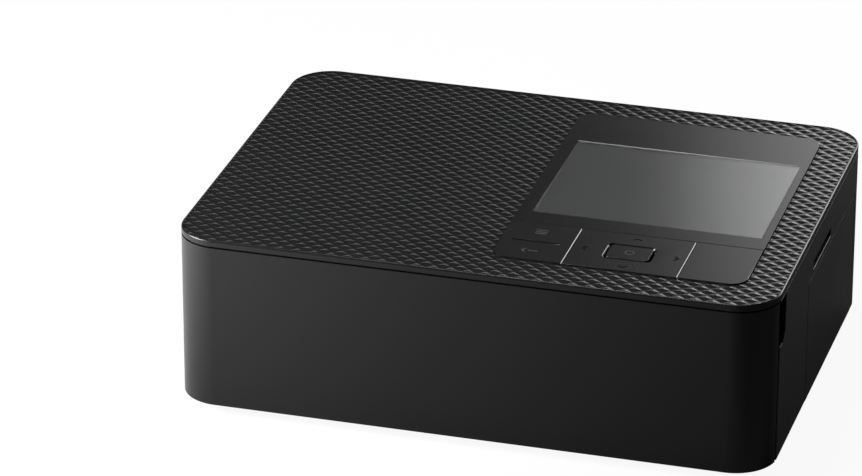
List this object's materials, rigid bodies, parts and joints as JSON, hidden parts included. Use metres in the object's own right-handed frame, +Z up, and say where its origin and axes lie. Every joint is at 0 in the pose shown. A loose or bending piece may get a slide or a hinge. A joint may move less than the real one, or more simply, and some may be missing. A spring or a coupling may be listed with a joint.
{
  "type": "compact photo printer",
  "caption": "Low black tabletop photo printer with a bumped lid, flush display and key panel, a drop-down front door, a side ink door and a roller mechanism inside.",
  "frame": {"origin": "on the table under the middle of the case, at the bottom of the rubber feet", "axes": "+X to the right along the case's width, where the ink door is; +Y to the back; +Z up; the front door faces -Y"},
  "size_m": [0.1822, 0.133, 0.0576],
  "materials": {
    "case_black": "fine satin moulding",
    "skin_black": "bumped satin",
    "panel_gloss": "semi-gloss",
    "window_clear": "clear, semi-gloss",
    "display_grey": "display that is off",
    "inner_black": "fine grain",
    "rubber_black": "matt",
    "roller_rubber": "ground",
    "steel": "ground",
    "sheet_steel": "zinc plated sheet",
    "alloy": "extruded",
    "gear_white": "acetal",
    "brass": "cut",
    "head_ceramic": "ground",
    "cassette_grey": "fine grain",
    "ribbon_film": "film",
    "lever_blue": "moulded",
    "board_green": "solder mask"
  },
  "bodies": {
    "root": {"bottom_case": "case_black", "rubber_feet": "rubber_black", "case_screws": "steel", "left_panel": "case_black", "right_panel": "case_black", "rear_panel": "case_black", "top_cover": "case_black", "top_plate": "skin_black", "panel_frame": "panel_gloss", "display_window": "window_clear", "lcd_module": "display_grey", "panel_tray": "inner_black", "key_board": "board_green", "key_switches": "steel", "door_pins": "steel", "front_frame": "inner_black", "ink_door_pins": "steel", "cassette_guide": "inner_black", "chassis_left": "sheet_steel", "chassis_right": "sheet_steel", "chassis_bridges": "sheet_steel", "paper_guide": "inner_black", "roller_bushes": "gear_white", "pivot_shafts": "steel", "feed_motor": "steel", "ribbon_motor": "steel", "ink_case": "cassette_grey", "ribbon_web": "ribbon_film", "main_board": "board_green", "card_socket": "steel", "port_board": "board_green", "power_sockets": "inner_black", "power_board": "board_green", "fan_frame": "inner_black", "feed_belt": "rubber_black"},
    "front_door": {"front_door": "case_black"},
    "ink_door": {"ink_door": "case_black"},
    "menu_key": {"menu_key": "panel_gloss"},
    "nav_gimbal": {"nav_gimbal": "inner_black"},
    "nav_key": {"nav_key": "panel_gloss"},
    "ok_key": {"ok_key": "panel_gloss"},
    "print_key": {"print_key": "panel_gloss"},
    "power_key": {"power_key": "case_black"},
    "platen": {"platen_shaft": "steel", "platen_rubber": "roller_rubber"},
    "grip": {"grip_roller": "steel"},
    "feed_pinion": {"motor_pinion": "brass"},
    "pinch": {"pinch_roller": "roller_rubber"},
    "pickup_arm": {"pickup_arm": "inner_black"},
    "pickup_roller": {"pickup_roller": "roller_rubber"},
    "takeup": {"takeup_drive": "gear_white", "takeup_spool": "ribbon_film"},
    "ribbon_pinion": {"ribbon_pinion": "brass"},
    "supply": {"supply_spool": "ribbon_film"},
    "print_head": {"head_arm": "sheet_steel", "thermal_head": "head_ceramic", "heat_sink": "alloy"},
    "head_cam": {"head_cam": "gear_white"},
    "ink_lever": {"ink_lever": "lever_blue"},
    "fan_rotor": {"fan_rotor": "inner_black"}
  },
  "joints": [
    {"name": "front_door_hinge", "type": "hinge", "parent": "root", "child": "front_door", "pos_m": [0, -0.0623, 0.0056], "axis": [1, 0, 0], "range_deg": [0, 90]},
    {"name": "ink_door_hinge", "type": "hinge", "parent": "root", "child": "ink_door", "pos_m": [0.0874, 0.018, 0.005], "axis": [0, 1, 0], "range_deg": [0, 90]},
    {"name": "menu_key_tilt", "type": "hinge", "parent": "root", "child": "menu_key", "pos_m": [0.0139, -0.04027, 0.0546], "axis": [1, 0, 0], "range_deg": [-2, 2], "stiffness_Nm_per_rad": 0.05},
    {"name": "nav_tilt_front_back", "type": "hinge", "parent": "root", "child": "nav_gimbal", "pos_m": [0.04235, -0.04027, 0.0546], "axis": [1, 0, 0], "range_deg": [-1.5, 1.5], "stiffness_Nm_per_rad": 0.05},
    {"name": "nav_tilt_left_right", "type": "hinge", "parent": "nav_gimbal", "child": "nav_key", "pos_m": [0.04235, -0.04027, 0.0546], "axis": [0, 1, 0], "range_deg": [-1.5, 1.5], "stiffness_Nm_per_rad": 0.05},
    {"name": "ok_key_press", "type": "slide", "parent": "root", "child": "ok_key", "axis": [0, 0, -1], "range_m": [0, 0.0004], "stiffness_N_per_m": 800, "springref_m": -0.0003},
    {"name": "print_key_press", "type": "slide", "parent": "root", "child": "print_key", "axis": [0, 0, -1], "range_m": [0, 0.0004], "stiffness_N_per_m": 800, "springref_m": -0.0003},
    {"name": "power_key_press", "type": "slide", "parent": "root", "child": "power_key", "axis": [1, 0, 0], "range_m": [0, 0.0005], "stiffness_N_per_m": 800, "springref_m": -0.0003},
    {"name": "platen_spin", "type": "hinge", "parent": "root", "child": "platen", "pos_m": [0, 0.018, 0.0129], "axis": [1, 0, 0], "continuous": true},
    {"name": "grip_spin", "type": "hinge", "parent": "root", "child": "grip", "pos_m": [0, 0.054, 0.0159], "axis": [1, 0, 0], "continuous": true},
    {"name": "feed_pinion_spin", "type": "hinge", "parent": "root", "child": "feed_pinion", "pos_m": [0, 0.0088, 0.01821], "axis": [1, 0, 0], "continuous": true},
    {"name": "pinch_spin", "type": "hinge", "parent": "root", "child": "pinch", "pos_m": [0, 0.054, 0.02365], "axis": [1, 0, 0], "continuous": true},
    {"name": "pickup_arm_swing", "type": "hinge", "parent": "root", "child": "pickup_arm", "pos_m": [0, -0.02, 0.043], "axis": [1, 0, 0], "range_deg": [0, 25], "stiffness_Nm_per_rad": 0.005, "springref_deg": -22.92},
    {"name": "pickup_roller_spin", "type": "hinge", "parent": "pickup_arm", "child": "pickup_roller", "pos_m": [0, -0.038, 0.0395], "axis": [1, 0, 0], "continuous": true},
    {"name": "takeup_spin", "type": "hinge", "parent": "root", "child": "takeup", "pos_m": [0, 0.038, 0.0311], "axis": [1, 0, 0], "continuous": true},
    {"name": "ribbon_pinion_spin", "type": "hinge", "parent": "root", "child": "ribbon_pinion", "pos_m": [0, 0.03134, 0.04264], "axis": [1, 0, 0], "continuous": true},
    {"name": "supply_spin", "type": "hinge", "parent": "root", "child": "supply", "pos_m": [0, -0.002, 0.0311], "axis": [1, 0, 0], "continuous": true},
    {"name": "head_lift", "type": "hinge", "parent": "root", "child": "print_head", "pos_m": [0, -0.01, 0.0455], "axis": [1, 0, 0], "range_deg": [0, 4], "stiffness_Nm_per_rad": 1, "springref_deg": -8.59},
    {"name": "cam_spin", "type": "hinge", "parent": "root", "child": "head_cam", "pos_m": [0, 0.03304, 0.041], "axis": [1, 0, 0], "range_deg": [0, 90]},
    {"name": "ink_lever_swing", "type": "hinge", "parent": "root", "child": "ink_lever", "pos_m": [0.065, 0.053, 0.0351], "axis": [1, 0, 0], "range_deg": [-35, 0], "stiffness_Nm_per_rad": 0.003, "springref_deg": 17.19},
    {"name": "fan_spin", "type": "hinge", "parent": "root", "child": "fan_rotor", "pos_m": [-0.0295, 0.059, 0.0414], "axis": [0, 1, 0], "continuous": true}
  ],
  "couplings": [
    {"joint": "grip_spin", "follows": "platen_spin", "ratio": 1.75},
    {"joint": "feed_pinion_spin", "follows": "platen_spin", "ratio": -1.5},
    {"joint": "pinch_spin", "follows": "platen_spin", "ratio": -2},
    {"joint": "pickup_roller_spin", "follows": "platen_spin", "ratio": -0.93333},
    {"joint": "ribbon_pinion_spin", "follows": "takeup_spin", "ratio": -2.1429},
    {"joint": "supply_spin", "follows": "takeup_spin", "ratio": 0.79545},
    {"joint": "cam_spin", "follows": "head_lift", "ratio": 22.5}
  ]
}
